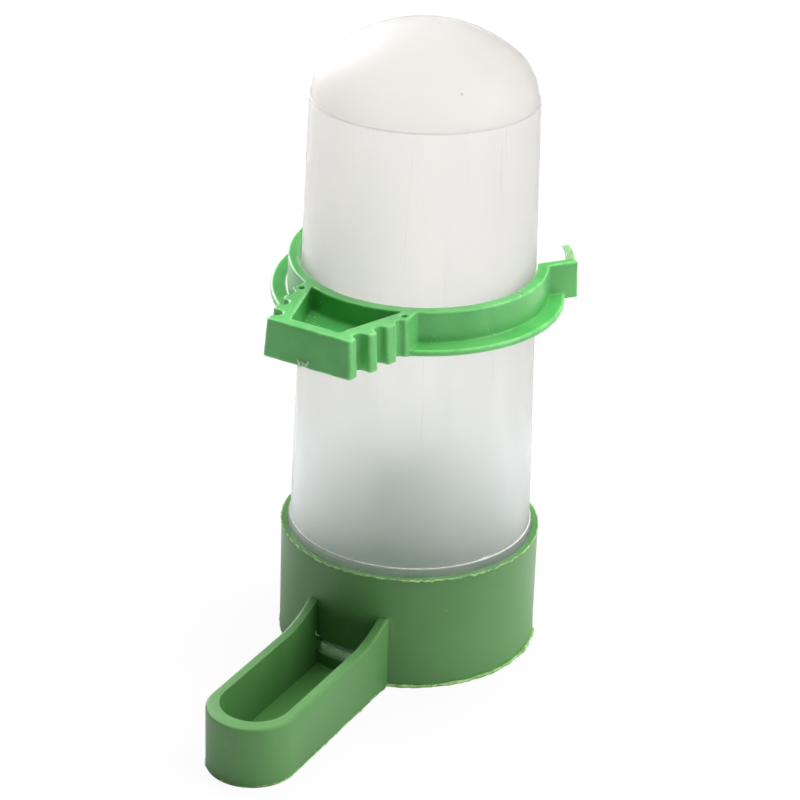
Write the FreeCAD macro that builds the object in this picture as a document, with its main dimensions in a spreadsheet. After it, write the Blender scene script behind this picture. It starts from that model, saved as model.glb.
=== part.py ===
import FreeCAD, Part
import Sketcher
import math
import os
import re

# Cage-bird drinker: a cup with a drinking trough, a bottle that stands mouth-down in the cup,
# and a spring clip that grips the bottle and hooks its teeth over the wires of a cage.
# Frame: millimetres, +Z up, origin on the bottle's axis at the underside of the cup.
# The trough points along -Y.

SIZES = {
    # cup
    "cup_height": 25.5,
    "cup_foot_radius": 27.45,
    "cup_rim_radius": 27.35,
    "cup_bore_radius": 26.08,
    "cup_floor": 1.4,
    # three ribs on the cup floor hold the bottle's mouth off it
    "rib_top": 5.0,
    "rib_width": 1.6,
    "rib_start": 21.0,
    # trough
    "trough_half_width": 9.3,
    "trough_nose_centre": 64.1,
    "trough_rim": 13.2,
    "trough_floor": 1.1,
    "trough_edge_round": 0.55,
    "wing_start": 38.5,
    "wing_radius": 25.0,
    "wing_top": 16.2,
    "hollow_rim_half_width": 7.2,
    "hollow_floor_half_width": 6.9,
    "hollow_nose_centre": 62.9,
    # window from the cup into the trough
    "slot_half_width": 7.0,
    "slot_sill": 3.7,
    "slot_top": 7.3,
    "slot_corner": 1.2,
    # bottle
    "bottle_wall": 1.2,
    "skirt_radius": 26.0,
    "skirt_top": 26.6,
    "step_radius": 25.45,
    "step_top": 27.2,
    "dome_start": 120.0,
    "bottle_top_radius": 23.0,
    "dome_radius": 22.62,
    "dome_height": 15.1,
    "dome_shoulder": 10.7,
    # clip ring
    "clip_base": 77.2,
    "clip_top": 85.2,
    "clip_radius": 26.5,
    "clip_fit": 0.22,
    "flange_radius": 30.0,
    "flange_thickness": 1.3,
    "flange_edge_round": 0.45,
    "notch_depth": 0.6,
    "notch_width": 0.7,
    "right_notch_wall": 0.35,
    "right_notch_angle": 352.0,
    "left_notch_angle": 193.0,
    # the left arm is sprung open: from this angle on, its radii are larger by the spread
    "arm_start_angle": 225.0,
    "arm_spread": 9.0,
    # ears at the ends of the two arms
    "ear_length": 9.4,
    "ear_thickness": 2.0,
    "ear_draft": 0.5,
    "right_ear_angle": 54.0,
    "right_ear_across": 20.55,
    "right_ear_back": 11.35,
    "left_ear_angle": 144.7,
    "left_ear_across": -26.1,
    "left_ear_back": 12.3,
    # how the clip sits on the bottle: turned, front down and left side up, in degrees
    "clip_turn": -2.3,
    "clip_dip": 0.6,
    "clip_roll": 0.5,
    # block on the front of the clip: plate, slanted body, grooves and pocket
    "block_draft": 3.5,
    "plate_half_width": 10.05,
    "plate_front": 42.6,
    "plate_back": 40.0,
    "body_front_half_width": 11.0,
    "body_shoulder": 26.6,
    "body_shoulder_half_width": 13.75,
    "body_root": 15.0,
    "body_root_half_width": 12.4,
    "groove_width": 2.6,
    "groove_pitch": 4.9,
    "groove_first": 38.7,
    "groove_bottom": 8.2,
    "groove_step": 1.75,
    "tooth_round": 0.7,
    "pocket_front": 39.6,
    "pocket_front_half_width": 5.5,
    "pocket_root_half_width": 13.5,
    "pocket_floor": 80.2,
    "pin_hole_radius": 0.65,
    "pin_hole_depth": 2.5,
    "pin_hole_across": 11.8,
    "pin_hole_front": 25.9,
}
MARGIN = 1.0        # how far a cutting solid runs past the face that it opens
FAR = 45.0          # past every edge of the clip and the trough

doc = FreeCAD.newDocument("Drinker")
sheet = doc.addObject("Spreadsheet::Sheet", "Sizes")
for row, (alias, value) in enumerate(SIZES.items(), start=1):
    sheet.set(f"A{row}", alias)
    sheet.set(f"B{row}", str(value))
    sheet.setAlias(f"B{row}", alias)
doc.recompute()

WORD = re.compile(r"[a-z_]+")


def linked(text):
    """An expression in which each name of the sheet reads its cell."""
    return WORD.sub(lambda word: f"Sizes.{word[0]}" if word[0] in SIZES else word[0], str(text))


def bind(thing, **properties):
    """Ties properties of an object to expressions; a double underscore stands for a dot."""
    for name, text in properties.items():
        thing.setExpression(name.replace("__", "."), linked(text))


def place(thing, across="0", back="0", up="0", turn=None):
    """Puts an object's own origin at a point, and turns it about the vertical by an angle."""
    if turn is not None:
        thing.Placement = FreeCAD.Placement(FreeCAD.Vector(), FreeCAD.Rotation(0, 0, 1, 0))
        bind(thing, Placement__Rotation__Angle=turn)
        thing.Placement.Rotation.Axis = FreeCAD.Vector(0, 0, 1)
    bind(thing, Placement__Base__x=across, Placement__Base__y=back, Placement__Base__z=up)
    return thing


def cylinder(name, radius, low, high, across="0", back="0"):
    solid = doc.addObject("Part::Cylinder", name)
    bind(solid, Radius=radius, Height=f"({high}) - ({low})")
    return place(solid, across, back, low)


def cone(name, low_radius, high_radius, low, high, across="0", back="0"):
    solid = doc.addObject("Part::Cone", name)
    bind(solid, Radius1=low_radius, Radius2=high_radius, Height=f"({high}) - ({low})")
    return place(solid, across, back, low)


def box(name, half_width, near, far, low, high):
    """A box centred across, which runs from near to far towards the front (-Y)."""
    solid = doc.addObject("Part::Box", name)
    bind(solid, Length=f"2 * ({half_width})", Width=f"({far}) - ({near})", Height=f"({high}) - ({low})")
    return place(solid, f"-({half_width})", f"-({far})", low)


def splayed(name, near_half, far_half, near, far, low, high):
    """A prism centred across, whose half width goes from near_half to far_half as it runs back (+Y)."""
    solid = doc.addObject("Part::Wedge", name)
    bind(solid, Xmin=f"-({near_half})", Xmax=near_half, X2min=f"-({far_half})", X2max=far_half)
    bind(solid, Ymin=near, Ymax=far, Zmin=low, Z2min=low, Zmax=high, Z2max=high)
    return solid


def fused(name, *solids):
    union = doc.addObject("Part::MultiFuse", name)
    union.Shapes = list(solids)
    union.Refine = True
    return union


def cut(name, base, tool):
    result = doc.addObject("Part::Cut", name)
    result.Base = base
    result.Tool = tool
    return result


def rounded(name, base, radius, wanted):
    """Rounds the edges of base that the function wanted picks, by the sheet's radius."""
    doc.recompute()
    size = SIZES[radius]
    picked = [n for n, edge in enumerate(base.Shape.Edges, start=1) if wanted(edge)]
    result = doc.addObject("Part::Fillet", name)
    result.Base = base
    result.Edges = [(n, size, size) for n in picked]
    return result


# ---- base_cup: the cup and its trough, one moulding ----

def trough_solid(cup):
    """The trough's walls and floor, with wings that sweep up to the cup's wall."""
    channel = box("Channel", "trough_half_width", "0", "trough_nose_centre", "0", "wing_top")
    nose = cylinder("Nose", "trough_half_width", "0", "wing_top", back="-trough_nose_centre")
    blank = fused("TroughBlank", channel, nose)

    above_rim = box("AboveRim", "2 * trough_half_width", "wing_start", "2 * trough_nose_centre",
                    "trough_rim", "wing_top + trough_rim")
    sweep = doc.addObject("Part::Cylinder", "WingSweep")
    bind(sweep, Radius="wing_radius", Height="4 * trough_half_width")
    sweep.Placement = FreeCAD.Placement(FreeCAD.Vector(), FreeCAD.Rotation(FreeCAD.Vector(0, 1, 0), 90))
    place(sweep, "-2 * trough_half_width", "-wing_start", "trough_rim + wing_radius")
    trimmed = cut("TroughTrimmed", blank, fused("OffTheRim", above_rim, sweep))

    hollow_top = "wing_top + trough_floor"
    flare = f"(hollow_rim_half_width - hollow_floor_half_width) / (trough_rim - trough_floor)"
    top_half = f"hollow_floor_half_width + ({hollow_top} - trough_floor) * {flare}"
    run = doc.addObject("Part::Wedge", "HollowRun")
    bind(run, Xmin="-hollow_floor_half_width", Xmax="hollow_floor_half_width")
    bind(run, X2min=f"-({top_half})", X2max=top_half)
    bind(run, Ymin="trough_floor", Ymax=hollow_top)
    bind(run, Zmin="0", Z2min="0", Zmax="hollow_nose_centre", Z2max="hollow_nose_centre")
    run.Placement = FreeCAD.Placement(FreeCAD.Vector(), FreeCAD.Rotation(FreeCAD.Vector(1, 0, 0), 90))
    end = cone("HollowNose", "hollow_floor_half_width", top_half, "trough_floor", hollow_top,
               back="-hollow_nose_centre")
    hollow = cut("Hollow", fused("HollowBlank", run, end), cup)

    def on_rim(edge):
        return edge.BoundBox.ZMin > SIZES["trough_rim"] - 0.01 and edge.BoundBox.YLength > 0.5
    return cut("Trough", rounded("TroughRounded", trimmed, "trough_edge_round", on_rim), hollow)


def base_cup():
    cup = cone("CupBlank", "cup_foot_radius", "cup_rim_radius", "0", "cup_height")
    trough = trough_solid(cup)
    bore = cylinder("CupBore", "cup_bore_radius", "cup_floor", f"cup_height + {MARGIN}")
    shell = cut("CupAndTrough", fused("CupTrough", cup, trough), bore)

    window = box("SlotBlank", "slot_half_width", "rib_start", "cup_foot_radius + slot_corner",
                 "slot_sill", "slot_top")

    def along_depth(edge):
        return edge.BoundBox.YLength > edge.BoundBox.XLength + edge.BoundBox.ZLength
    opened = cut("CupWithSlot", shell, rounded("Slot", window, "slot_corner", along_depth))

    ribs = []
    for number, angle in enumerate((90, 210, 330), start=1):
        rib = doc.addObject("Part::Box", f"Rib{number}")
        bind(rib, Length=f"(cup_bore_radius + cup_foot_radius) / 2 - rib_start",
             Width="rib_width", Height="rib_top")
        corner_x = f"rib_start * cos({angle} deg) + rib_width / 2 * sin({angle} deg)"
        corner_y = f"rib_start * sin({angle} deg) - rib_width / 2 * cos({angle} deg)"
        ribs.append(place(rib, corner_x, corner_y, "0", turn=str(angle)))
    return fused("BaseCup", opened, *ribs)


# ---- reservoir_tube: a tapered bottle with a domed end, mouth down ----

START, END, CENTRE = 1, 2, 3


def pin(sketch, piece, point, across, up):
    """Holds a point of a sketch at distances, given as expressions, from the sketch's origin."""
    for direction, text in (("DistanceX", across), ("DistanceY", up)):
        now = getattr(sketch.getPoint(piece, point), "x" if direction == "DistanceX" else "y")
        index = sketch.addConstraint(Sketcher.Constraint(direction, piece, point, now))
        sketch.setExpression(f"Constraints[{index}]", linked(text))


def wall_side(sketch, wall):
    """One side of the bottle's wall, from the mouth to the pole: returns its first and last pieces.
    wall is how far this side lies inside the outer one."""
    inset = SIZES[wall] if wall else 0.0
    less = f" - {wall}" if wall else ""
    corners = [("skirt_radius", "rib_top"), ("skirt_radius", "skirt_top"),
               ("step_radius", "step_top"), ("bottle_top_radius", "dome_start"),
               ("dome_radius", "dome_start")]
    points = [FreeCAD.Vector(SIZES[r] - inset, SIZES[z], 0) for r, z in corners]
    lines = [sketch.addGeometry(Part.LineSegment(a, b), False) for a, b in zip(points, points[1:])]
    for line, (r, z) in zip(lines, corners):
        pin(sketch, line, START, r + less, z)
    pin(sketch, lines[-1], END, "dome_radius" + less, "dome_start")
    for line, following in zip(lines, lines[1:]):
        sketch.addConstraint(Sketcher.Constraint("Coincident", line, END, following, START))

    # the dome: a shoulder arc, then a flatter crown arc that meets it in tangent
    up = FreeCAD.Vector(0, 0, 1)
    across = SIZES["dome_radius"] - SIZES["dome_shoulder"]
    shoulder = SIZES["dome_shoulder"]
    rise = SIZES["dome_height"]
    crown = (across ** 2 + rise ** 2 - shoulder ** 2) / (2 * (rise - shoulder))
    lean = math.atan2(crown - rise, across)
    shoulder_centre = FreeCAD.Vector(across, SIZES["dome_start"], 0)
    crown_centre = FreeCAD.Vector(0, SIZES["dome_start"] + rise - crown, 0)
    round_off = sketch.addGeometry(
        Part.ArcOfCircle(Part.Circle(shoulder_centre, up, shoulder - inset), 0, lean), False)
    cap = sketch.addGeometry(
        Part.ArcOfCircle(Part.Circle(crown_centre, up, crown - inset), lean, math.pi / 2), False)
    pin(sketch, round_off, CENTRE, "dome_radius - dome_shoulder", "dome_start")
    sketch.addConstraint(Sketcher.Constraint("Coincident", lines[-1], END, round_off, START))
    sketch.addConstraint(Sketcher.Constraint("Tangent", round_off, END, cap, START))
    pin(sketch, cap, END, "0", "dome_start + dome_height" + less)
    sketch.addConstraint(Sketcher.Constraint("DistanceX", cap, CENTRE, 0.0))
    return lines[0], cap


def reservoir_tube():
    body = doc.addObject("PartDesign::Body", "ReservoirTube")
    sketch = body.newObject("Sketcher::SketchObject", "TubeProfile")
    plane = next(f for f in body.Origin.OriginFeatures if f.Role == "XZ_Plane")
    sketch.AttachmentSupport = [(plane, "")]
    sketch.MapMode = "FlatFace"
    outer_foot, outer_cap = wall_side(sketch, None)
    inner_foot, inner_cap = wall_side(sketch, "bottle_wall")
    for one, other, end in ((outer_foot, inner_foot, START), (outer_cap, inner_cap, END)):
        line = Part.LineSegment(sketch.getPoint(one, end), sketch.getPoint(other, end))
        bridge = sketch.addGeometry(line, False)
        sketch.addConstraint(Sketcher.Constraint("Coincident", bridge, START, one, end))
        sketch.addConstraint(Sketcher.Constraint("Coincident", bridge, END, other, end))
    turned = body.newObject("PartDesign::Revolution", "TubeTurned")
    turned.Profile = sketch
    turned.ReferenceAxis = (sketch, ["V_Axis"])
    turned.Angle = 360.0
    return body


# ---- cage_clip: an open ring with a toothed block in front and two ears behind ----

LOW, HIGH = f"clip_base - {MARGIN}", f"clip_top + {MARGIN}"     # past both faces of the clip


def block_outline(body):
    """The block's plan at its foot: a plate in front of a slanted body that runs back into the ring."""
    sketch = body.newObject("Sketcher::SketchObject", "BlockPlan")
    plane = next(f for f in body.Origin.OriginFeatures if f.Role == "XY_Plane")
    sketch.AttachmentSupport = [(plane, "")]
    sketch.MapMode = "FlatFace"
    bind(sketch, AttachmentOffset__Base__z="clip_base")
    half = [("plate_half_width", "plate_front"), ("plate_half_width", "plate_back"),
            ("body_front_half_width", "plate_back"), ("body_shoulder_half_width", "body_shoulder"),
            ("body_root_half_width", "body_root")]
    corners = [("", *corner) for corner in half] + [("-", *corner) for corner in reversed(half)]
    points = [FreeCAD.Vector((-1 if sign else 1) * SIZES[x], -SIZES[y], 0) for sign, x, y in corners]
    ends = points[1:] + points[:1]
    lines = [sketch.addGeometry(Part.LineSegment(a, b), False) for a, b in zip(points, ends)]
    for line, following in zip(lines, lines[1:] + lines[:1]):
        sketch.addConstraint(Sketcher.Constraint("Coincident", line, END, following, START))
    for line, (sign, x, y) in zip(lines, corners):
        pin(sketch, line, START, sign + x, "-" + y)
    return sketch


def grooved_block():
    """The block in front of the ring, drafted on its sides, with three grooves in each of them."""
    body = doc.addObject("PartDesign::Body", "Block")
    pad = body.newObject("PartDesign::Pad", "BlockPad")
    pad.Profile = block_outline(body)
    bind(pad, Length="clip_top - clip_base", TaperAngle="-block_draft")

    grooves = []
    radius = "groove_width / 2"
    for side in (-1, 1):
        for number in range(3):
            name = f"{'Left' if side < 0 else 'Right'}{number + 1}"
            bottom = f"groove_bottom + {number} * groove_step + {radius}"
            middle = f"-(groove_first - {number} * groove_pitch)"
            grooves.append(cylinder(f"GrooveBottom{name}", radius, LOW, HIGH, f"{side} * ({bottom})", middle))
            run = doc.addObject("Part::Box", f"GrooveRun{name}")
            bind(run, Length="groove_width * 4", Width="groove_width", Height=f"({HIGH}) - ({LOW})")
            inner_end = bottom if side > 0 else f"-({bottom}) - groove_width * 4"
            grooves.append(place(run, inner_end, f"{middle} - {radius}", LOW))
    block = cut("BlockGrooved", body, fused("Grooves", *grooves))

    def tooth_or_plate_corner(edge):
        ends = sorted((vertex.Point for vertex in edge.Vertexes), key=lambda point: point.z)
        if len(ends) != 2 or ends[1].z - ends[0].z < SIZES["clip_top"] - SIZES["clip_base"] - 0.01:
            return False
        foot_across, foot_front = abs(ends[0].x), -ends[0].y
        spread = SIZES["body_shoulder_half_width"] - SIZES["body_front_half_width"]
        spread /= SIZES["plate_back"] - SIZES["body_shoulder"]
        flank = SIZES["body_front_half_width"] + spread * (SIZES["plate_back"] - foot_front)
        in_front = SIZES["body_shoulder"] + SIZES["tooth_round"] / 2 < foot_front < SIZES["plate_back"]
        tooth = in_front and abs(foot_across - flank) < 0.05
        return tooth or abs(foot_front - SIZES["plate_front"]) < 0.05
    return rounded("BlockRounded", block, "tooth_round", tooth_or_plate_corner)


def turned_box(name, length, width, start, side, across, back, angle, low=LOW, high=HIGH):
    """A box turned about a root point: it runs from start along the angle, and from side to its left."""
    solid = doc.addObject("Part::Box", name)
    bind(solid, Length=length, Width=width, Height=f"({high}) - ({low})")
    cosine, sine = f"cos({angle} * 1 deg)", f"sin({angle} * 1 deg)"
    return place(solid, f"{across} + ({start}) * {cosine} - ({side}) * {sine}",
                 f"{back} + ({start}) * {sine} + ({side}) * {cosine}", low, turn=angle)


def ear(side):
    """The plate that ends one arm of the ring. Its rear face goes through the arm's end point."""
    plate = doc.addObject("Part::Wedge", f"{side.title()}Ear")
    bind(plate, Xmin="0", Xmax="ear_length", X2min="0", X2max="ear_length - ear_draft")
    bind(plate, Ymin="0", Ymax="clip_top - clip_base")
    near, far = ("0", "ear_thickness") if side == "right" else ("-ear_thickness", "0")
    bind(plate, Zmin=near, Z2min=near, Zmax=far, Z2max=far)
    angle = SIZES[f"{side}_ear_angle"]
    upright_turn = FreeCAD.Rotation(FreeCAD.Vector(1, 0, 0), 90)
    plate.Placement.Rotation = FreeCAD.Rotation(FreeCAD.Vector(0, 0, 1), angle) * upright_turn
    return place(plate, f"{side}_ear_across", f"{side}_ear_back", "clip_base")


def upper_edge(edge):
    """Whether an edge of a disc lying on the clip's underside is the upper one."""
    return edge.BoundBox.ZMin > SIZES["clip_base"] + SIZES["flange_thickness"] / 2 and len(edge.Vertexes) == 1


def arm(side, radius, bore, across, back):
    """Half of the ring and its flange, on one side of the line through the arm's start angle."""
    grown = "+ arm_spread" if side == "left" else ""
    band = cylinder(f"{side.title()}Band", f"{radius} {grown}", "clip_base", "clip_top", across, back)
    disc = cylinder(f"{side.title()}Disc", f"flange_radius {grown}", "clip_base",
                    "clip_base + flange_thickness", across, back)
    flange = rounded(f"{side.title()}Flange", disc, "flange_edge_round", upper_edge)
    # the far half, then what lies behind the ear
    away = "0" if side == "left" else f"-{FAR * 2}"
    other_half = turned_box(f"{side.title()}OtherHalf", str(FAR * 4), str(FAR * 2), str(-FAR * 2), away,
                            "0", "0", "arm_start_angle")
    behind_start, behind_side = ("-ear_thickness * 3", "0") if side == "right" else (f"-{FAR}", f"-{FAR * 2}")
    behind = turned_box(f"{side.title()}Behind", str(FAR * 2), str(FAR * 2), behind_start, behind_side,
                        f"{side}_ear_across", f"{side}_ear_back", f"{side}_ear_angle")
    blank = fused(f"{side.title()}Blank", band, flange)
    return cut(f"{side.title()}Arm", blank, fused(f"{side.title()}Off", bore, other_half, behind))


def cage_clip():
    # the bore follows the bottle's taper, so the clip wedges where it sits and frees as it rises
    taper = "(step_radius - bottle_top_radius) / (dome_start - step_top)"
    radii = [f"step_radius - ({level} - step_top) * {taper} + clip_fit" for level in (LOW, HIGH)]
    bore = cone("ClipBore", *radii, LOW, HIGH)
    right = arm("right", "clip_radius", bore, "0", "0")
    shift_across = "-arm_spread * cos(arm_start_angle * 1 deg)"
    shift_back = "-arm_spread * sin(arm_start_angle * 1 deg)"
    wide_bore = cylinder("ArmBore", f"{radii[0]} + arm_spread", LOW, HIGH, shift_across, shift_back)
    left = arm("left", "clip_radius", wide_bore, shift_across, shift_back)
    solid = fused("ClipBlank", right, left, grooved_block(), ear("right"), ear("left"))

    ring = cylinder("PocketBack", "clip_radius", LOW, HIGH)
    throat = cut("PocketBlank",
                 splayed("PocketWedge", "pocket_front_half_width", "pocket_root_half_width",
                         "-pocket_front", "-body_root", "pocket_floor", HIGH), ring)
    cuts = [bore, throat]
    for side, name in ((-1, "Left"), (1, "Right")):
        cuts.append(cylinder(f"PinHole{name}", "pin_hole_radius", "clip_top - pin_hole_depth", HIGH,
                             f"{side} * pin_hole_across", "-pin_hole_front"))
    cuts.append(turned_box("RightNotch", "clip_radius - right_notch_wall", "notch_width", "0",
                           "-notch_width / 2", "0", "0", "right_notch_angle", "clip_top - notch_depth"))
    cuts.append(turned_box("LeftNotch", "clip_radius + arm_spread", "notch_width", "0", "-notch_width / 2",
                           shift_across, shift_back, "left_notch_angle", "clip_top - notch_depth"))
    clip = cut("CageClip", solid, fused("ClipCuts", *cuts))

    # the clip hangs a little askew, about the middle of its height
    middle = FreeCAD.Vector(0, 0, (SIZES["clip_base"] + SIZES["clip_top"]) / 2)
    askew = (FreeCAD.Rotation(FreeCAD.Vector(0, 0, 1), SIZES["clip_turn"])
             * FreeCAD.Rotation(FreeCAD.Vector(0, 1, 0), SIZES["clip_roll"])
             * FreeCAD.Rotation(FreeCAD.Vector(1, 0, 0), SIZES["clip_dip"]))
    clip.Placement = FreeCAD.Placement(FreeCAD.Vector(), askew, middle)
    return clip


pieces = {"base_cup": base_cup(), "reservoir_tube": reservoir_tube(), "cage_clip": cage_clip()}
for label, piece in pieces.items():
    piece.Label = label
doc.recompute()

for thing in doc.Objects:
    if "Invalid" in thing.State or "Error" in thing.State:
        raise RuntimeError(f"{thing.Name} did not compute: {thing.State}")
for label, piece in pieces.items():
    shape = piece.Shape
    if shape.isNull() or not shape.isValid() or len(shape.Solids) != 1:
        raise RuntimeError(f"{label} is not one valid solid")
    print(label, f"{shape.Volume:.1f} mm3", shape.BoundBox)

os.makedirs("parts", exist_ok=True)
for label, piece in pieces.items():
    piece.Shape.exportStep(os.path.join("parts", f"{label}.step"))
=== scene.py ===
"""Cage-bird drinker: a frosted bottle, mouth down in a green cup with a trough, and its cage clip.

Everything is in metres in the CAD model's frame: +Z up, origin on the bottle's axis at the underside
of the cup, the trough towards -Y. Sizes below are millimetres and are turned into metres by MM.
"""
import math
import random

import bmesh
import bpy
from mathutils import Matrix, Vector


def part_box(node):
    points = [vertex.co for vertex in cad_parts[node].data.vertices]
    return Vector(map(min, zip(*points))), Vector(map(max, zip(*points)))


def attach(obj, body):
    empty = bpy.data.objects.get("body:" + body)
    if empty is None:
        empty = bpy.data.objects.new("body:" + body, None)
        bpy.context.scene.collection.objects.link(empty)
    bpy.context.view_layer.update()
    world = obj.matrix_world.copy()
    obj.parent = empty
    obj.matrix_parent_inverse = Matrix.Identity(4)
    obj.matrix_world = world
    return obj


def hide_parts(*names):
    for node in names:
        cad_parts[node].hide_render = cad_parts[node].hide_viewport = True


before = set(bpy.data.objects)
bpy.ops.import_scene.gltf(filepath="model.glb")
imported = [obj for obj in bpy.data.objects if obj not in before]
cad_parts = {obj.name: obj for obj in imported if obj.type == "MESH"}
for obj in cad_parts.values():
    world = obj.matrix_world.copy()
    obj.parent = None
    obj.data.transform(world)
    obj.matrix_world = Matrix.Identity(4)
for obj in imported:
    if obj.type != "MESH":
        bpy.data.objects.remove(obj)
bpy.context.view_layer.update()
MM = 0.001

# Where the pieces are, read from the frame
CUP_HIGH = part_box("base_cup")[1]
TUBE_LOW, TUBE_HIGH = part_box("reservoir_tube")

# Bottle
BOTTLE_WALL = 1.2 * MM
SKIRT_RADIUS = TUBE_HIGH.x
SKIRT_TOP = 26.6 * MM
STEP_RADIUS = 25.45 * MM
STEP_TOP = 27.2 * MM
TUBE_TOP_RADIUS = 23.0 * MM
DOME_RADIUS = 22.62 * MM
DOME_START = 120.0 * MM
DOME_HEIGHT = TUBE_HIGH.z - DOME_START
DOME_SHOULDER = 10.7 * MM
BOTTLE_SEGMENTS = 192

# Bottle finish: how much light goes through, colours, noise scales per metre, and heights of its zones
BOTTLE_TRANSMISSION = 0.95
BOTTLE_IOR = 1.45
MILK = (1.0, 0.988, 0.968, 1)
DENSE_MILK = (0.99, 0.972, 0.948, 1)
DRAWN_MILK = (0.965, 0.957, 0.945, 1)
DOME_MILK = (0.958, 0.938, 0.92, 1)
# painted light: a lighter, bluer milk for the lower body that lifts its shading
PAINTED_LIGHT_MILK = (0.985, 1.0, 1.0, 1)
# painted shade: a dark green-grey laid over the bottle near its mouth, down in the cup, stands in for the
# shade there
MOUTH_SHADE_GREY = (0.34, 0.42, 0.36, 1)
SCRATCH_GREY = (0.80, 0.78, 0.75, 1)
SEAM_GREY = (0.72, 0.66, 0.62, 1)
DUST_GREY = (0.55, 0.54, 0.52, 1)
DRAW_MARKS, BROAD_BANDS, HAZE, GRAIN = 900.0, 140.0, 45.0, 1800.0
PAINTED_LIGHT_ZONE = (66.0 * MM, 40.0 * MM)
SOFT_ZONE = (55.0 * MM, 35.0 * MM)
MOUTH_SHADE_ZONE = (16.0 * MM, 8.0 * MM)
MOUTH_SHADE_AMOUNT = 0.85

# Cup and trough
CUP_RIM = CUP_HIGH.z
CUP_EDGE_ROUND = 0.25 * MM

# Clip, before it is hung: millimetres, for the function askew
PLATE_FRONT = 42.6
CLIP_FOOT = 77.2
CLIP_GRAIN = 0.25 * MM
CLIP_SOFTENING = 3

# How the clip hangs on the bottle, in degrees: turned, front down, left side up
CLIP_MIDDLE = 81.2 * MM
CLIP_TURN, CLIP_DIP, CLIP_ROLL = -2.3, 0.6, 0.5

# Light. A softbox is its size, its place, its power in watts, whether it shows in gloss, and whether it
# shines through the bottle. The room is white where it is seen, a little more so through the bottle,
# and dim as a source of light.
AMBIENT = 0.17
THROUGH_GLOW = 0.10
FLOOR_GLOW = 0.92
FLOOR_HALF = 6.0
SOFTBOXES = [
    ("overhead", (1.0, 1.0), (0.10, 0.25, 1.0), 19.0, False, False),
    ("right side", (0.5, 0.8), (0.9, 0.2, 0.45), 5.0, True, True),
    ("left rear", (0.3, 0.7), (-0.7, 0.45, 0.4), 5.0, True, False),
]


# ---------------------------------------------------------------- mesh helpers

def mesh_object(name, mesh):
    piece = bpy.data.objects.new(name, mesh)
    bpy.context.scene.collection.objects.link(piece)
    return piece


def shade_smooth(mesh, sharp_above):
    """Smooth shading, with edges sharper than the given angle in degrees kept crisp."""
    mesh.polygons.foreach_set("use_smooth", [True] * len(mesh.polygons))
    mesh.set_sharp_from_angle(angle=math.radians(sharp_above))


def lathe(name, outline, segments):
    """A closed solid of revolution about Z; outline runs from pole to pole as (radius, height)."""
    bm = bmesh.new()
    rings = []
    for radius, height in outline:
        if radius < 1e-9:
            rings.append([bm.verts.new((0, 0, height))])
            continue
        turns = [2 * math.pi * k / segments for k in range(segments)]
        rings.append([bm.verts.new((radius * math.cos(a), radius * math.sin(a), height)) for a in turns])
    for upper, lower in zip(rings, rings[1:]):
        for k in range(segments):
            following = (k + 1) % segments
            corners = [upper[k % len(upper)], lower[k % len(lower)],
                       lower[following % len(lower)], upper[following % len(upper)]]
            bm.faces.new(list(dict.fromkeys(corners)))
    bmesh.ops.recalc_face_normals(bm, faces=bm.faces)
    mesh = bpy.data.meshes.new(name)
    bm.to_mesh(mesh)
    bm.free()
    return mesh_object(name, mesh)


def arc(centre, radius, start, end, steps):
    """Points (radius, height) along an arc; angles in degrees from the outward direction."""
    angles = [math.radians(start + (end - start) * k / steps) for k in range(steps + 1)]
    return [(centre[0] + radius * math.cos(a), centre[1] + radius * math.sin(a)) for a in angles]


def merged_copy(name, node, join_flats):
    """A copy of a CAD node as one closed skin, with the triangles of its flat faces joined on request."""
    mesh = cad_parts[node].data.copy()
    bm = bmesh.new()
    bm.from_mesh(mesh)
    bmesh.ops.remove_doubles(bm, verts=bm.verts, dist=2e-6)
    if join_flats:
        bmesh.ops.dissolve_limit(bm, angle_limit=math.radians(0.6), verts=bm.verts, edges=bm.edges)
    bm.to_mesh(mesh)
    bm.free()
    mesh.materials.clear()
    return mesh_object(name, mesh)


def baked(piece):
    """The piece with its modifiers worked into its mesh."""
    depsgraph = bpy.context.evaluated_depsgraph_get()
    mesh = bpy.data.meshes.new_from_object(piece.evaluated_get(depsgraph))
    piece.modifiers.clear()
    piece.data = mesh
    return piece


def mark_edges(mesh, marks, domain):
    """Keeps how much each face or corner is a softened edge, for the painted highlight laid along them."""
    mesh.attributes.new("edge", "FLOAT", domain).data.foreach_set("value", marks)


def bevelled(name, node, edge_round):
    """A CAD node with its sharp edges rounded over."""
    piece = merged_copy(name, node, True)
    shade_smooth(piece.data, 32)
    for _ in range(2):
        piece.data.materials.append(None)
    bevel = piece.modifiers.new("Softened edges", "BEVEL")
    bevel.width = edge_round
    bevel.segments = 3
    bevel.limit_method = "ANGLE"
    bevel.angle_limit = math.radians(32)
    bevel.miter_outer = "MITER_ARC"
    bevel.use_clamp_overlap = True
    bevel.harden_normals = True
    bevel.material = 1
    faces = baked(piece).data.polygons
    mark_edges(piece.data, [float(face.material_index) for face in faces], "FACE")
    faces.foreach_set("material_index", [0] * len(faces))
    return piece


def melted(name, node, grain, passes):
    """A CAD node remade as a fine even skin, so that every edge has the soft round of moulded plastic."""
    piece = merged_copy(name, node, False)
    remesh = piece.modifiers.new("Even skin", "REMESH")
    remesh.mode = "VOXEL"
    remesh.voxel_size = grain
    remesh.use_smooth_shade = True
    soften = piece.modifiers.new("Soft edges", "SMOOTH")
    soften.factor = 0.5
    soften.iterations = passes
    baked(piece)
    bm = bmesh.new()
    bm.from_mesh(piece.data)
    bends = [sum(edge.calc_face_angle_signed(0.0) for edge in vert.link_edges) for vert in bm.verts]
    bm.free()
    mark_edges(piece.data, [min(max((bend - 0.25) / 0.5, 0.0), 1.0) for bend in bends], "POINT")
    return piece


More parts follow.
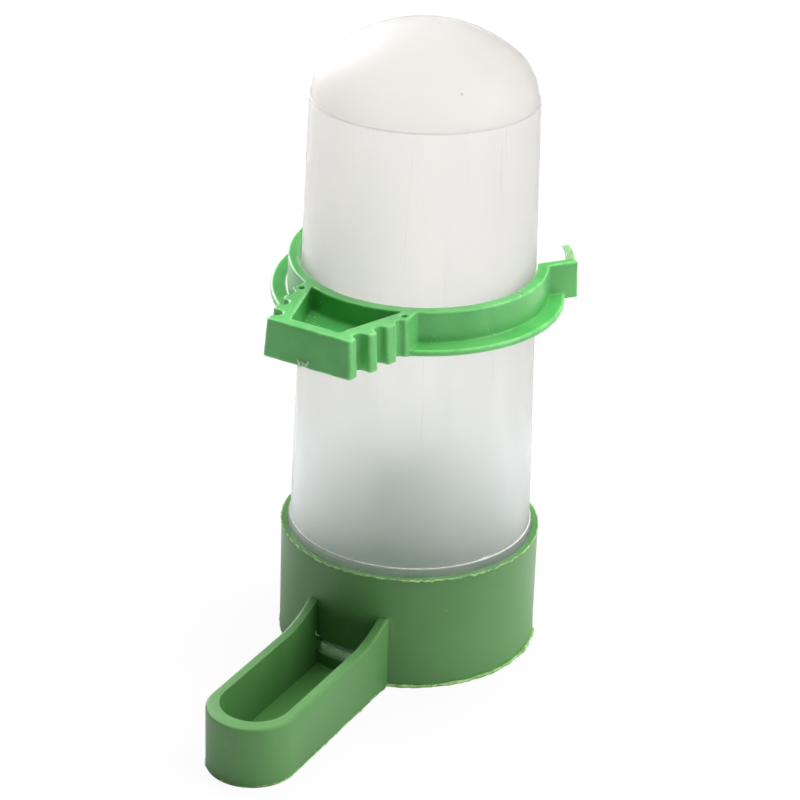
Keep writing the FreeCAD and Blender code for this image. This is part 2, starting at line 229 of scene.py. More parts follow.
def outline_at(node, height):
    """The outermost closed line where a CAD node's flat face at a height meets its walls."""
    bm = bmesh.new()
    bm.from_mesh(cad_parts[node].data)
    bmesh.ops.remove_doubles(bm, verts=bm.verts, dist=2e-6)
    on_height = {vert for vert in bm.verts if abs(vert.co.z - height) < 1e-5}
    border = [edge for edge in bm.edges if set(edge.verts) <= on_height
              and sum(abs(face.normal.z) > 0.99 for face in edge.link_faces) == 1]
    loops = []
    while border:
        first, last = border.pop().verts
        loop = [first, last]
        while loop[-1] is not first:
            step = next((edge for edge in border if loop[-1] in edge.verts), None)
            if step is None:
                break
            border.remove(step)
            loop.append(step.other_vert(loop[-1]))
        loops.append([vert.co.copy() for vert in loop])
    bm.free()
    return max(loops, key=lambda loop: max(point.length for point in loop))


# ---------------------------------------------------------------- shader helpers

def add(tree, kind, **settings):
    """A new node with its settings."""
    node = tree.nodes.new(kind)
    for name, value in settings.items():
        setattr(node, name, value)
    return node


def maths(tree, operation, first, second=None, third=None):
    """The result of a Math node on numbers or sockets."""
    node = add(tree, "ShaderNodeMath", operation=operation)
    for slot, source in enumerate((first, second, third)):
        if source is None:
            continue
        if isinstance(source, (int, float)):
            node.inputs[slot].default_value = source
        else:
            tree.links.new(source, node.inputs[slot])
    return node.outputs[0]


def ramp(tree, source, low, high, to_low=0.0, to_high=1.0):
    """Maps a value from low..high to to_low..to_high, clamped and eased."""
    node = add(tree, "ShaderNodeMapRange", interpolation_type="SMOOTHSTEP")
    for socket, number in (("From Min", low), ("From Max", high), ("To Min", to_low), ("To Max", to_high)):
        node.inputs[socket].default_value = number
    tree.links.new(source, node.inputs["Value"])
    return node.outputs["Result"]


def noise_of(tree, place, scale, detail=2.0, roughness=0.5):
    node = add(tree, "ShaderNodeTexNoise")
    node.inputs["Scale"].default_value = scale
    node.inputs["Detail"].default_value = detail
    node.inputs["Roughness"].default_value = roughness
    tree.links.new(place, node.inputs["Vector"])
    return node.outputs["Fac"]


def mixed(tree, mask, first, second):
    """Colour that goes from first to second as mask goes from 0 to 1."""
    node = add(tree, "ShaderNodeMix", data_type="RGBA")
    for socket, source in ((node.inputs[0], mask), (node.inputs[6], first), (node.inputs[7], second)):
        if isinstance(source, (tuple, float, int)):
            socket.default_value = source
        else:
            tree.links.new(source, socket)
    return node.outputs[2]


def group(name, inputs, outputs):
    """An empty shader group with the named sockets; returns the tree and its two end nodes."""
    tree = bpy.data.node_groups.new(name, "ShaderNodeTree")
    for socket, kind, default in inputs:
        made = tree.interface.new_socket(socket, in_out="INPUT", socket_type=kind)
        if default is not None:
            made.default_value = default
    for socket, kind in outputs:
        tree.interface.new_socket(socket, in_out="OUTPUT", socket_type=kind)
    return tree, tree.nodes.new("NodeGroupInput"), tree.nodes.new("NodeGroupOutput")


def use_group(tree, group_tree, **values):
    node = tree.nodes.new("ShaderNodeGroup")
    node.node_tree = group_tree
    for name, value in values.items():
        socket = node.inputs[name.replace("_", " ")]
        if isinstance(value, (float, int, tuple)):
            socket.default_value = value
        else:
            tree.links.new(value, socket)
    return node


FLOAT, COLOUR, VECTOR = "NodeSocketFloat", "NodeSocketColor", "NodeSocketVector"


def moulded_skin_group():
    """Moulded polypropylene: cloudy colour from the flow of the melt, and a fine satin grain."""
    tree, given, made = group(
        "Moulded skin",
        [("Place", VECTOR, None), ("Colour", COLOUR, None), ("Pale", COLOUR, None),
         ("Cloud Scale", FLOAT, 60.0), ("Cloud Amount", FLOAT, 0.25),
         ("Roughness Low", FLOAT, 0.35), ("Roughness High", FLOAT, 0.55), ("Speck Amount", FLOAT, 0.5)],
        [("Colour", COLOUR), ("Roughness", FLOAT), ("Height", FLOAT)])
    place = given.outputs["Place"]
    clouds = noise_of(tree, place, 1.0, 4.0, 0.55)
    tree.nodes[-1].name = "Clouds"
    tree.links.new(given.outputs["Cloud Scale"], tree.nodes["Clouds"].inputs["Scale"])
    grain = noise_of(tree, place, 2600.0, 3.0, 0.6)
    cloud_mask = maths(tree, "MULTIPLY", ramp(tree, clouds, 0.35, 0.68), given.outputs["Cloud Amount"])
    clouded = mixed(tree, cloud_mask, given.outputs["Colour"], given.outputs["Pale"])

    cells = add(tree, "ShaderNodeTexVoronoi", feature="F1")
    cells.inputs["Scale"].default_value = 260.0
    tree.links.new(place, cells.inputs["Vector"])
    rare = add(tree, "ShaderNodeSeparateColor")
    tree.links.new(cells.outputs["Color"], rare.inputs[0])
    dot = maths(tree, "LESS_THAN", cells.outputs["Distance"], 0.10)
    picked = maths(tree, "GREATER_THAN", rare.outputs[0], 0.90)
    speck = maths(tree, "MULTIPLY", maths(tree, "MULTIPLY", dot, picked), given.outputs["Speck Amount"])
    coloured = mixed(tree, speck, clouded, given.outputs["Pale"])
    tree.links.new(coloured, made.inputs["Colour"])

    span = maths(tree, "SUBTRACT", given.outputs["Roughness High"], given.outputs["Roughness Low"])
    blend = maths(tree, "MULTIPLY_ADD", ramp(tree, clouds, 0.3, 0.7), span, given.outputs["Roughness Low"])
    tree.links.new(blend, made.inputs["Roughness"])
    relief = maths(tree, "ADD", maths(tree, "MULTIPLY", grain, 0.6), maths(tree, "MULTIPLY", clouds, 0.8))
    tree.links.new(relief, made.inputs["Height"])
    return tree


def principled(name, **values):
    material = bpy.data.materials.new(name)
    material.use_nodes = True
    tree = material.node_tree
    shader = tree.nodes["Principled BSDF"]
    for socket, value in values.items():
        shader.inputs[socket.replace("_", " ")].default_value = value
    return material, tree, shader


def object_place(tree):
    return add(tree, "ShaderNodeTexCoord").outputs["Object"]


def bump_from(tree, shader, height, strength, distance):
    bump = add(tree, "ShaderNodeBump")
    bump.inputs["Strength"].default_value = strength
    bump.inputs["Distance"].default_value = distance
    tree.links.new(height, bump.inputs["Height"])
    tree.links.new(bump.outputs["Normal"], shader.inputs["Normal"])


SKIN = moulded_skin_group()


def green_plastic(name, colour, pale, cloud, roughness, specks, coat, edge_highlight_amount):
    material, tree, shader = principled(name, Coat_Weight=coat, Coat_Roughness=0.25)
    place = object_place(tree)
    skin = use_group(tree, SKIN, Place=place, Colour=colour, Pale=pale,
                     Cloud_Scale=cloud, Roughness_Low=roughness[0], Roughness_High=roughness[1],
                     Speck_Amount=specks)
    # painted highlight: a broken pale line along the softened edges stands in for the light they catch
    edge = add(tree, "ShaderNodeAttribute", attribute_name="edge")
    broken = ramp(tree, noise_of(tree, place, 420.0, 3.0, 0.6), 0.25, 0.6, 0.3, 1.0)
    painted_edge_highlight = maths(tree, "MULTIPLY", maths(tree, "MULTIPLY", edge.outputs["Fac"], broken), edge_highlight_amount)
    tree.links.new(mixed(tree, painted_edge_highlight, skin.outputs["Colour"], pale), shader.inputs["Base Color"])
    tree.links.new(skin.outputs["Roughness"], shader.inputs["Roughness"])
    bump_from(tree, shader, skin.outputs["Height"], 0.35, 0.00006)
    return material


def torn_plastic(name, colour, pale):
    """Thin ragged plastic left by the mould: lighter than the body because light goes through it."""
    material, tree, shader = principled(name, Roughness=0.5)
    place = object_place(tree)
    mottle = ramp(tree, noise_of(tree, place, 700.0, 3.0, 0.6), 0.35, 0.65)
    tree.links.new(mixed(tree, mottle, colour, pale), shader.inputs["Base Color"])
    bump_from(tree, shader, noise_of(tree, place, 2500.0, 2.0, 0.5), 0.4, 0.00005)
    return material


def frosted_bottle():
    """Milky polypropylene: satin and draw-marked on the body, plain on the dome, rougher low down; painted
    light makes the lower body lighter and bluer, and painted shade darkens it near the mouth.
    """
    material, tree, shader = principled("Frosted bottle", Transmission_Weight=BOTTLE_TRANSMISSION,
                                        IOR=BOTTLE_IOR, Coat_Roughness=0.22)
    place = object_place(tree)
    axes = add(tree, "ShaderNodeSeparateXYZ")
    tree.links.new(place, axes.inputs[0])
    height = axes.outputs["Z"]
    stretched = add(tree, "ShaderNodeMapping")
    stretched.inputs["Scale"].default_value = (1.0, 1.0, 0.035)
    tree.links.new(place, stretched.inputs["Vector"])
    streaks = noise_of(tree, stretched.outputs[0], DRAW_MARKS, 4.0, 0.6)
    broad = noise_of(tree, stretched.outputs[0], BROAD_BANDS, 2.0, 0.5)
    haze = noise_of(tree, place, HAZE, 3.0, 0.5)
    grain = noise_of(tree, place, GRAIN, 2.0, 0.5)
    on_dome = ramp(tree, height, DOME_START - 0.3 * MM, DOME_START + 0.3 * MM)
    on_body = maths(tree, "SUBTRACT", 1.0, on_dome)

    cells = add(tree, "ShaderNodeTexVoronoi", feature="F1")
    cells.inputs["Scale"].default_value = 130.0
    tree.links.new(place, cells.inputs["Vector"])
    pick = add(tree, "ShaderNodeSeparateColor")
    tree.links.new(cells.outputs["Color"], pick.inputs[0])
    dot = maths(tree, "MULTIPLY", maths(tree, "LESS_THAN", cells.outputs["Distance"], 0.055),
                maths(tree, "GREATER_THAN", pick.outputs[0], 0.9))

    milky = mixed(tree, ramp(tree, haze, 0.3, 0.7), DENSE_MILK, MILK)
    banded = maths(tree, "MULTIPLY", ramp(tree, broad, 0.4, 0.7), on_body)
    drawn = mixed(tree, banded, milky, DRAWN_MILK)
    scratches = maths(tree, "MULTIPLY", ramp(tree, streaks, 0.60, 0.70, 0.0, 0.6), on_body)
    marked = mixed(tree, scratches, drawn, SCRATCH_GREY)
    seam = maths(tree, "COMPARE", height, DOME_START, 0.16 * MM)
    seamed = mixed(tree, maths(tree, "MULTIPLY", seam, 0.6), marked, SEAM_GREY)
    # painted light: lower down, the body turns to a lighter, bluer milk that lifts its shading
    whole = mixed(tree, ramp(tree, height, *PAINTED_LIGHT_ZONE), mixed(tree, on_dome, seamed, DOME_MILK), PAINTED_LIGHT_MILK)
    # painted shade: the bottle turns dark green-grey towards its mouth, where it sits in the shade of the cup
    mouth = mixed(tree, ramp(tree, height, *MOUTH_SHADE_ZONE, 0.0, MOUTH_SHADE_AMOUNT), whole, MOUTH_SHADE_GREY)
    tree.links.new(mixed(tree, dot, mouth, DUST_GREY), shader.inputs["Base Color"])

    satin = ramp(tree, broad, 0.3, 0.7, 0.46, 0.56)
    softer = maths(tree, "MULTIPLY_ADD", ramp(tree, height, *SOFT_ZONE), 0.22, satin)
    tree.links.new(maths(tree, "MULTIPLY_ADD", on_dome, 0.1, softer), shader.inputs["Roughness"])
    tree.links.new(maths(tree, "MULTIPLY", on_dome, 0.12), shader.inputs["Coat Weight"])
    relief = maths(tree, "MULTIPLY_ADD", maths(tree, "MULTIPLY", streaks, on_body), 0.8,
                   maths(tree, "MULTIPLY", grain, 0.25))
    bump_from(tree, shader, relief, 0.25, 0.00008)
    return material


# ---------------------------------------------------------------- pieces

def bottle_piece():
    """The bottle as one turned wall, with rounded lips and the thin line where the mould halves met."""
    across = DOME_RADIUS - DOME_SHOULDER
    crown = (across ** 2 + DOME_HEIGHT ** 2 - DOME_SHOULDER ** 2) / (2 * (DOME_HEIGHT - DOME_SHOULDER))
    lean = math.degrees(math.atan2(crown - DOME_HEIGHT, across))
    crown_centre = (0.0, DOME_START + DOME_HEIGHT - crown)
    shoulder_centre = (across, DOME_START)

    def dome(inset):
        return (arc(crown_centre, crown - inset, 90, lean, 28)
                + arc(shoulder_centre, DOME_SHOULDER - inset, lean, 0, 24)[1:])

    def body(inset):
        steps = 24
        return [(TUBE_TOP_RADIUS - inset + (STEP_RADIUS - TUBE_TOP_RADIUS) * k / steps,
                 DOME_START + (STEP_TOP - DOME_START) * k / steps) for k in range(1, steps)]

    line, lip = 0.12 * MM, 0.3 * MM
    parting = [(DOME_RADIUS, DOME_START + line), (TUBE_TOP_RADIUS - line, DOME_START + line / 2),
               (TUBE_TOP_RADIUS, DOME_START - line / 2)]
    step = [(STEP_RADIUS, STEP_TOP + lip), (STEP_RADIUS + lip / 4, STEP_TOP),
            (SKIRT_RADIUS - lip / 2, SKIRT_TOP + lip / 2), (SKIRT_RADIUS, SKIRT_TOP - lip / 2)]
    mouth = arc((SKIRT_RADIUS - lip, TUBE_LOW.z + lip), lip, 0, -90, 4)
    inner_mouth = arc((SKIRT_RADIUS - BOTTLE_WALL + lip, TUBE_LOW.z + lip), lip, -90, -180, 4)
    inner_step = [(SKIRT_RADIUS - BOTTLE_WALL, SKIRT_TOP), (STEP_RADIUS - BOTTLE_WALL, STEP_TOP)]
    outer = dome(0.0)[:-1] + parting + body(0.0) + step + mouth
    inner = inner_mouth + inner_step + body(BOTTLE_WALL)[::-1] + dome(BOTTLE_WALL)[::-1]
    outline = outer + inner
    outline[0] = (0.0, outline[0][1])
    outline[-1] = (0.0, outline[-1][1])
    piece = lathe("bottle", outline, BOTTLE_SEGMENTS)
    shade_smooth(piece.data, 40)
    return piece


def finish_piece(piece, material, body, node=None):
    piece.data.materials.clear()
    piece.data.materials.append(material)
    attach(piece, body)
    if node:
        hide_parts(node)


# ---------------------------------------------------------------- geometry-node trees

def geometry_tree(name, inputs):
    """An empty geometry tree with a Geometry input and output and the named inputs."""
    tree = bpy.data.node_groups.new(name, "GeometryNodeTree")
    tree.interface.new_socket("Geometry", in_out="INPUT", socket_type="NodeSocketGeometry")
    tree.interface.new_socket("Geometry", in_out="OUTPUT", socket_type="NodeSocketGeometry")
    for socket, kind, default in inputs:
        made = tree.interface.new_socket(socket, in_out="INPUT", socket_type=kind)
        if default is not None:
            made.default_value = default
    return tree, tree.nodes.new("NodeGroupInput"), tree.nodes.new("NodeGroupOutput")


def wire(tree, kind, settings=None, **inputs):
    """A node with its settings and inputs; spaces in a socket's name are written as underscores."""
    node = add(tree, kind, **(settings or {}))
    for name, value in inputs.items():
        socket = node.inputs[name.replace("_", " ")]
        if isinstance(value, bpy.types.NodeSocket):
            tree.links.new(value, socket)
        else:
            socket.default_value = value
    return node


def end_tree(tree, geometry, material, made):
    plain = wire(tree, "GeometryNodeRealizeInstances", Geometry=geometry)
    finished = wire(tree, "GeometryNodeSetMaterial", Geometry=plain.outputs[0], Material=material)
    tree.links.new(finished.outputs[0], made.inputs["Geometry"])


def flash_tree():
    """A thin ragged bead of plastic along a path, swelling and fading at random."""
    tree, given, made = geometry_tree("Moulding flash", [
        ("Spacing", FLOAT, 0.3 * MM), ("Bead Radius", FLOAT, 0.2 * MM), ("Thinnest", FLOAT, 0.1),
        ("Wander", FLOAT, 0.1 * MM), ("Noise Scale", FLOAT, 400.0), ("Seed", "NodeSocketInt", 1),
        ("Material", "NodeSocketMaterial", None)])
    have = given.outputs
    fine = wire(tree, "GeometryNodeResampleCurve", {"mode": "LENGTH"}, Curve=have["Geometry"],
                Length=have["Spacing"])
    place = wire(tree, "GeometryNodeInputPosition").outputs[0]
    shift = wire(tree, "ShaderNodeVectorMath", {"operation": "ADD"})
    tree.links.new(place, shift.inputs[0])
    tree.links.new(have["Seed"], shift.inputs[1])
    ragged = wire(tree, "ShaderNodeTexNoise", Vector=shift.outputs[0], Scale=have["Noise Scale"], Detail=2.0)
    size = wire(tree, "ShaderNodeMapRange", Value=ragged.outputs["Fac"], From_Min=0.38, From_Max=0.66,
                To_Min=have["Thinnest"], To_Max=1.0)
    radius = maths(tree, "MULTIPLY", size.outputs["Result"], have["Bead Radius"])
    centred = wire(tree, "ShaderNodeVectorMath", {"operation": "SUBTRACT"})
    tree.links.new(ragged.outputs["Color"], centred.inputs[0])
    centred.inputs[1].default_value = (0.5, 0.5, 0.5)
    push = wire(tree, "ShaderNodeVectorMath", {"operation": "SCALE"}, Scale=have["Wander"])
    tree.links.new(centred.outputs[0], push.inputs[0])
    moved = wire(tree, "GeometryNodeSetPosition", Geometry=fine.outputs[0], Offset=push.outputs[0])
    sized = wire(tree, "GeometryNodeSetCurveRadius", Curve=moved.outputs[0], Radius=radius)
    ring = wire(tree, "GeometryNodeCurvePrimitiveCircle", {"mode": "RADIUS"}, Resolution=6, Radius=1.0)
    bead = wire(tree, "GeometryNodeCurveToMesh", Curve=sized.outputs[0], Profile_Curve=ring.outputs[0],
                Fill_Caps=True)
    if "Scale" in bead.inputs:
        back = wire(tree, "GeometryNodeInputRadius").outputs[0]
        tree.links.new(back, bead.inputs["Scale"])
    end_tree(tree, bead.outputs[0], have["Material"], made)
    return tree


def crumbs_tree():
    """Loose crumbs of plastic lying on a patch."""
    tree, given, made = geometry_tree("Crumbs", [
        ("Density", FLOAT, 300000.0), ("Smallest", FLOAT, 0.05 * MM), ("Largest", FLOAT, 0.15 * MM),
        ("Seed", "NodeSocketInt", 1), ("Material", "NodeSocketMaterial", None)])
    have = given.outputs
    spots = wire(tree, "GeometryNodeDistributePointsOnFaces", Mesh=have["Geometry"], Density=have["Density"],
                 Seed=have["Seed"])
    crumb = wire(tree, "GeometryNodeMeshIcoSphere", Radius=1.0, Subdivisions=1)
    size = wire(tree, "FunctionNodeRandomValue", {"data_type": "FLOAT"}, Seed=have["Seed"])
    floats = [socket for socket in size.inputs if socket.name in ("Min", "Max") and socket.type == "VALUE"]
    tree.links.new(have["Smallest"], floats[0])
    tree.links.new(have["Largest"], floats[1])
    number = next(socket for socket in size.outputs if socket.type == "VALUE")
    turned = wire(tree, "FunctionNodeRandomValue", {"data_type": "FLOAT_VECTOR"}, Seed=have["Seed"])
    turned.inputs[1].default_value = (6.3, 6.3, 6.3)
    placed = wire(tree, "GeometryNodeInstanceOnPoints", Points=spots.outputs[0], Instance=crumb.outputs[0])
    tree.links.new(number, placed.inputs["Scale"])
    tree.links.new(turned.outputs[0], placed.inputs["Rotation"])
    end_tree(tree, placed.outputs[0], have["Material"], made)
    return tree


def worked_in(piece, tree, **values):
    """The result of a geometry tree on a path or patch, as a plain mesh object of the same name."""
    grown = piece.modifiers.new(tree.name, "NODES")
    grown.node_group = tree
    keys = {item.name: item.identifier for item in tree.interface.items_tree if item.in_out == "INPUT"}
    for name, value in values.items():
        grown[keys[name.replace("_", " ")]] = value
    depsgraph = bpy.context.evaluated_depsgraph_get()
    mesh = bpy.data.meshes.new_from_object(piece.evaluated_get(depsgraph))
    name = piece.name
    piece.modifiers.clear()
    bpy.data.objects.remove(piece)
    return mesh_object(name, mesh)


def path(name, points, closed):
    """A curve of straight runs through the points, for a geometry tree to work on."""
    curve = bpy.data.curves.new(name, "CURVE")
    curve.dimensions = "3D"
    spline = curve.splines.new("POLY")
    spline.points.add(len(points) - 1)
    for spot, point in zip(spline.points, points):
        spot.co = (*point, 1.0)
    spline.use_cyclic_u = closed
    return mesh_object(name, curve)


def patch(name, corners):
    """A strip of quads between a lower run of corners and the upper run that comes back over it."""
    mesh = bpy.data.meshes.new(name)
    last = len(corners) - 1
    quads = [(k, k + 1, last - k - 1, last - k) for k in range(len(corners) // 2 - 1)]
    mesh.from_pydata(corners, [], quads)
    return mesh_object(name, mesh)


# ---------------------------------------------------------------- finishes

# the last number of each green sets the strength of its painted edge highlight
BASE_GREEN = green_plastic("Base green", (0.076, 0.222, 0.058, 1), (0.15, 0.36, 0.12, 1), 55.0,
                           (0.42, 0.58), 0.30, 0.08, 0.7)
CLIP_GREEN = green_plastic("Clip green", (0.068, 0.37, 0.082, 1), (0.24, 0.70, 0.23, 1), 80.0,
                           (0.30, 0.42), 0.25, 0.15, 0.6)
BASE_TORN = torn_plastic("Base flash", (0.16, 0.36, 0.09, 1), (0.42, 0.62, 0.26, 1))
CLIP_TORN = torn_plastic("Clip flash", (0.28, 0.68, 0.22, 1), (0.62, 0.85, 0.52, 1))
# painted highlight: this pale is used for the bottle's step line, where it stands in for the light along that
# edge
STEP_HIGHLIGHT_PALE = torn_plastic("Bottle edge", (0.62, 0.60, 0.57, 1), (0.80, 0.77, 0.73, 1))
GATE_TORN = torn_plastic("Torn gate", (0.55, 0.66, 0.45, 1), (0.85, 0.88, 0.78, 1))
DARK_SPECK = torn_plastic("Dark speck", (0.05, 0.06, 0.04, 1), (0.09, 0.10, 0.07, 1))
BOTTLE_WHITE = frosted_bottle()
FLASH, CRUMBS = flash_tree(), crumbs_tree()

# ---------------------------------------------------------------- the three moulded parts

finish_piece(bottle_piece(), BOTTLE_WHITE, "bottle", "reservoir_tube")
finish_piece(bevelled("cup_and_trough", "base_cup", CUP_EDGE_ROUND), BASE_GREEN,
             "base", "base_cup")
finish_piece(melted("wire_clip", "cage_clip", CLIP_GRAIN, CLIP_SOFTENING), CLIP_GREEN,
             "clip", "cage_clip")


# ---------------------------------------------------------------- flash, burrs and crumbs

def askew(across, front, height):
    """A point of the clip, given square to the clip, where it is on the hung clip. Millimetres in."""
    middle = Vector((0, 0, CLIP_MIDDLE))
    turn = (Matrix.Rotation(math.radians(CLIP_TURN), 4, "Z")
            @ Matrix.Rotation(math.radians(CLIP_ROLL), 4, "Y")
            @ Matrix.Rotation(math.radians(CLIP_DIP), 4, "X"))
    return middle + turn @ (Vector((across * MM, -front * MM, height * MM)) - middle)


def flash(name, points, closed, body, slot, material, **sizes):
    bead = worked_in(path(name, points, closed), FLASH, Material=material, **sizes)
    shade_smooth(bead.data, 60)
    finish_piece(bead, material, body)


def ribbon(name, spine, across, widths, thickness, body, material):
    """A thin torn strip: it follows the spine, is spread along across, and narrows as the widths do."""
    bm = bmesh.new()
    rings = []
    for k, (point, width) in enumerate(zip(spine, widths)):
        ahead = (spine[min(k + 1, len(spine) - 1)] - spine[max(k - 1, 0)]).normalized()
        out = ahead.cross(across).normalized() * thickness / 2
        side = across.normalized() * width / 2
        rings.append([bm.verts.new(point + a + b) for a, b in
                      ((side, out), (-side, out), (-side, -out), (side, -out))])
    for lower, upper in zip(rings, rings[1:]):
        for k in range(4):
            bm.faces.new((lower[k], lower[(k + 1) % 4], upper[(k + 1) % 4], upper[k]))
    bm.faces.new(rings[0])
    bm.faces.new(rings[-1])
    bmesh.ops.recalc_face_normals(bm, faces=bm.faces)
    mesh = bpy.data.meshes.new(name)
    bm.to_mesh(mesh)
    bm.free()
    finish_piece(mesh_object(name, mesh), material, body)


def crumbs(name, corners, body, slot, material, **sizes):
    scattered = worked_in(patch(name, corners), CRUMBS, Material=material, **sizes)
    finish_piece(scattered, material, body)


def ring_strip(start, end, radius, low, high, steps=8):
    """Corners of an upright strip round the clip's ring, between two angles in degrees."""
    turns = [math.radians(start + (end - start) * k / steps) for k in range(steps + 1)]
    ends = [(radius * math.cos(a), -radius * math.sin(a)) for a in turns]
    return [askew(*spot, low) for spot in ends] + [askew(*spot, high) for spot in reversed(ends)]


def step_arc(out, up, start, end, steps):
    """Points round the bottle just above its step, between two angles in degrees."""
    turns = [math.radians(start + (end - start) * k / steps) for k in range(steps)]
    radius = STEP_RADIUS + out
    return [Vector((radius * math.cos(a), radius * math.sin(a), STEP_TOP + up)) for a in turns]


def grown_out(points, out, up):
    """The points of a line round the bottle's axis, moved outwards and up."""
    return [point + Vector((point.x, point.y, 0)).normalized() * out + Vector((0, 0, up)) for point in points]


# the cup's rim, then its foot: a thread of flash all round it, and a thick lip on the right
rim = outline_at("base_cup", CUP_RIM)[:-1]
foot = outline_at("base_cup", 0.0)[:-1]
first = max(range(len(foot)), key=lambda k: foot[k].y)
foot = foot[first:] + foot[:first]
flash("rim_burr", grown_out(rim, 0.05 * MM, -0.05 * MM), True, "base", "base_plastic", BASE_TORN,
      Bead_Radius=0.2 * MM, Thinnest=0.35, Wander=0.8 * MM, Noise_Scale=850.0, Seed=3)
flash("foot_thread", grown_out(foot, 0.0, 0.26 * MM), True, "base", "base_plastic", BASE_TORN,
      Bead_Radius=0.16 * MM, Thinnest=0.3, Wander=0.9 * MM, Noise_Scale=420.0, Seed=8)
lip = [point for point in foot
       if point.x > 9.0 * MM and point.y < 12.0 * MM and point.length < CUP_HIGH.x + MM]
lip.sort(key=lambda point: math.atan2(point.y, point.x))
flash("foot_lip", grown_out(lip, 0.15 * MM, 0.42 * MM), False, "base", "base_plastic", BASE_TORN,
      Bead_Radius=0.42 * MM, Thinnest=0.6, Wander=0.7 * MM, Noise_Scale=260.0, Seed=5)

# the pale line on the bottle's step, a painted highlight along its edge, and the place where it is chipped,
# drawn in the same pale
flash("step_line", step_arc(0.12 * MM, -0.02 * MM, 0, 360, 96), True, "bottle", "bottle_plastic", STEP_HIGHLIGHT_PALE,
      Bead_Radius=0.15 * MM, Thinnest=0.75, Wander=0.05 * MM, Noise_Scale=150.0, Seed=2)
flash("step_chip", step_arc(0.0, 0.15 * MM, -29, -19, 10), False, "bottle", "bottle_plastic", STEP_HIGHLIGHT_PALE,
      Bead_Radius=0.26 * MM, Thinnest=0.1, Wander=0.7 * MM, Noise_Scale=1100.0, Seed=10)

# a sliver left standing on the right ear, and a curl of swarf in the corner where cup and trough meet,
# painted pale as its highlight
ear_tip, ear_back = (25.3, -17.9), Vector((-0.588, -0.809, 0))
sliver = [askew(ear_tip[0] + lean * ear_back.x, ear_tip[1] - lean * ear_back.y, height)
          for lean, height in ((0.0, 84.9), (0.15, 85.9), (0.5, 86.9), (1.0, 87.8), (1.5, 88.4))]
ribbon("ear_sliver", sliver, -ear_back, [1.9 * MM, 1.8 * MM, 1.7 * MM, 1.7 * MM, 1.5 * MM], 0.3 * MM,
       "clip", CLIP_TORN)

curl_centre = Vector((-6.1 * MM, -27.9 * MM, 9.4 * MM))
curl = [curl_centre + Vector((0.45 * MM * math.cos(a), -0.1 * MM - 0.06 * MM * a, 0.65 * MM * math.sin(a)))
        for a in [math.radians(150 + 24 * k) for k in range(8)]]
# painted highlight: the curl takes the pale clip flash colour so that it shows as a bright crescent
flash("corner_curl", curl, False, "base", "base_plastic", CLIP_TORN,
      Bead_Radius=0.16 * MM, Thinnest=0.5, Wander=0.1 * MM, Noise_Scale=900.0, Seed=4)

# the torn gate on the plate's lower edge: a tuft of short pale fibres
chance = random.Random(11)
for k in range(20):
    across, foot_height = -0.6 + chance.uniform(-1.1, 1.1), CLIP_FOOT + chance.uniform(-0.1, 1.1)
    reach, lean, front = chance.uniform(0.3, 0.8), chance.uniform(-0.5, 0.5), PLATE_FRONT + 0.04
    fibre = [askew(across, front, foot_height),
             askew(across + lean / 2, front + 0.14, foot_height + reach / 2),
             askew(across + lean, front + 0.06, foot_height + reach)]
    ribbon(f"gate_fibre_{k + 1}", fibre, Vector((1, 0, 0)), [0.16 * MM, 0.13 * MM, 0.05 * MM], 0.1 * MM,
           "clip", GATE_TORN)

# crumbs of plastic and dust in the pocket and along the ring; the pocket's crumbs are painted pale as glints
POCKET = [(-5.3, 39.1), (5.3, 39.1), (9.6, 27.2), (-9.6, 27.2)]
POCKET_WALL = [(-8.6, 26.0, 80.4), (5.0, 26.2, 80.4), (5.0, 26.2, 84.4), (-8.6, 26.0, 84.4)]
RING_DUST = [(-57.0, 78.7, 80.4, CLIP_TORN, 12), (-46.0, 78.7, 79.6, DARK_SPECK, 13),
             (-30.0, 78.7, 80.2, CLIP_TORN, 14)]
# painted highlight: the pocket crumbs are real crumbs, but they take the pale gate colour so that they shine
# as glints
crumbs("pocket_crumbs", [askew(*corner, 80.3) for corner in POCKET], "clip", "clip_plastic", GATE_TORN,
       Density=380000.0, Smallest=0.06 * MM, Largest=0.15 * MM, Seed=6)
crumbs("pocket_wall_crumbs", [askew(*corner) for corner in POCKET_WALL], "clip", "clip_plastic", GATE_TORN,
       Density=300000.0, Smallest=0.05 * MM, Largest=0.12 * MM, Seed=9)
for number, (angle, low, high, dust, seed) in enumerate(RING_DUST, start=1):
    crumbs(f"ring_crumbs_{number}", ring_strip(angle, angle + 12.0, 26.5, low, high), "clip", "clip_plastic",
           dust, Density=900000.0, Smallest=0.03 * MM, Largest=0.10 * MM, Seed=seed)

# the burr on the front lip of the right notch
notch_angle = math.radians(350.6)
notch = [askew(reach * math.cos(notch_angle), -reach * math.sin(notch_angle), 85.2)
         for reach in (25.2, 25.7, 26.2)]
flash("notch_burr", notch, False, "clip", "clip_plastic", GATE_TORN,
      Bead_Radius=0.16 * MM, Thinnest=0.6, Wander=0.2 * MM, Noise_Scale=900.0, Seed=7)


# ---------------------------------------------------------------- the scene

def rays_seen(tree, *kinds):
    """1 for the kinds of ray that are named, 0 for the others."""
    kind_of = add(tree, "ShaderNodeLightPath")
    seen = kind_of.outputs[kinds[0]]
    for kind in kinds[1:]:
        seen = maths(tree, "MAXIMUM", seen, kind_of.outputs[kind])
    return seen


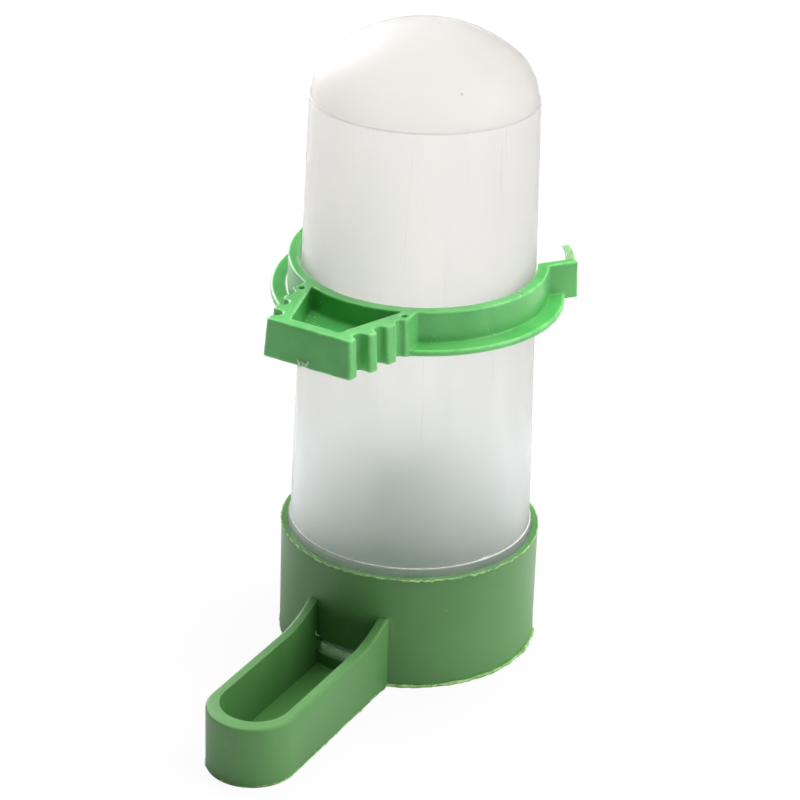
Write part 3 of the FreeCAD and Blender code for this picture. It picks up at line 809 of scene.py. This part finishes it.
def studio():
    """A pale floor, a plain white room and three softboxes."""
    floor_mesh = bpy.data.meshes.new("floor")
    corners = [(FLOOR_HALF * x, FLOOR_HALF * y, 0) for x, y in ((-1, -1), (1, -1), (1, 1), (-1, 1))]
    floor_mesh.from_pydata(corners, [], [(0, 1, 2, 3)])
    floor = mesh_object("floor", floor_mesh)
    material, tree, shader = principled("Pale floor", Base_Color=(0.66, 0.66, 0.66, 1), Roughness=0.9)
    lit = wire(tree, "ShaderNodeEmission", Color=(1, 1, 1, 1), Strength=1.0)
    blend = add(tree, "ShaderNodeMixShader")
    seen = rays_seen(tree, "Is Camera Ray", "Is Transmission Ray")
    tree.links.new(maths(tree, "MULTIPLY", seen, FLOOR_GLOW), blend.inputs[0])
    tree.links.new(shader.outputs[0], blend.inputs[1])
    tree.links.new(lit.outputs[0], blend.inputs[2])
    tree.links.new(blend.outputs[0], tree.nodes["Material Output"].inputs["Surface"])
    floor_mesh.materials.append(material)

    world = bpy.data.worlds.new("Studio")
    world.use_nodes = True
    tree = world.node_tree
    sky = tree.nodes["Background"]
    sky.inputs["Color"].default_value = (1, 1, 1, 1)
    seen = rays_seen(tree, "Is Camera Ray", "Is Transmission Ray")
    through = maths(tree, "MULTIPLY", rays_seen(tree, "Is Transmission Ray"), THROUGH_GLOW)
    plain = maths(tree, "MULTIPLY_ADD", seen, 1.0 - AMBIENT, AMBIENT)
    tree.links.new(maths(tree, "ADD", plain, through), sky.inputs["Strength"])
    bpy.context.scene.world = world

    for name, size, place, power, in_gloss, through_bottle in SOFTBOXES:
        light = bpy.data.lights.new(name, "AREA")
        light.shape = "RECTANGLE"
        light.size, light.size_y = size
        light.energy = power
        lamp = bpy.data.objects.new(name, light)
        bpy.context.scene.collection.objects.link(lamp)
        lamp.location = place
        lamp.visible_glossy = in_gloss
        lamp.visible_transmission = through_bottle
        aim = Vector((0, 0, 0.06)) - Vector(place)
        lamp.rotation_euler = aim.to_track_quat("-Z", "Y").to_euler()
    bpy.context.scene.view_settings.view_transform = "Standard"


def camera():
    """A long lens, a little above and to the right of the trough, tipped slightly."""
    azimuth, reach, height = math.radians(27.2), 487.0 * MM, 285.4 * MM
    pan, pitch, roll = -0.006, -0.445, 0.034
    data = bpy.data.cameras.new("view")
    data.sensor_width = 36.0
    data.lens = 116.28
    data.clip_start = 0.01
    eye = bpy.data.objects.new("view", data)
    bpy.context.scene.collection.objects.link(eye)
    eye.location = (reach * math.sin(azimuth), -reach * math.cos(azimuth), height)
    heading = Matrix.Rotation(azimuth - pan, 4, "Z")
    tilt = Matrix.Rotation(math.pi / 2 + pitch, 4, "X")
    twist = Matrix.Rotation(roll, 4, "Z")
    eye.matrix_world = Matrix.Translation(eye.location) @ heading @ tilt @ twist
    bpy.context.scene.camera = eye


studio()
camera()
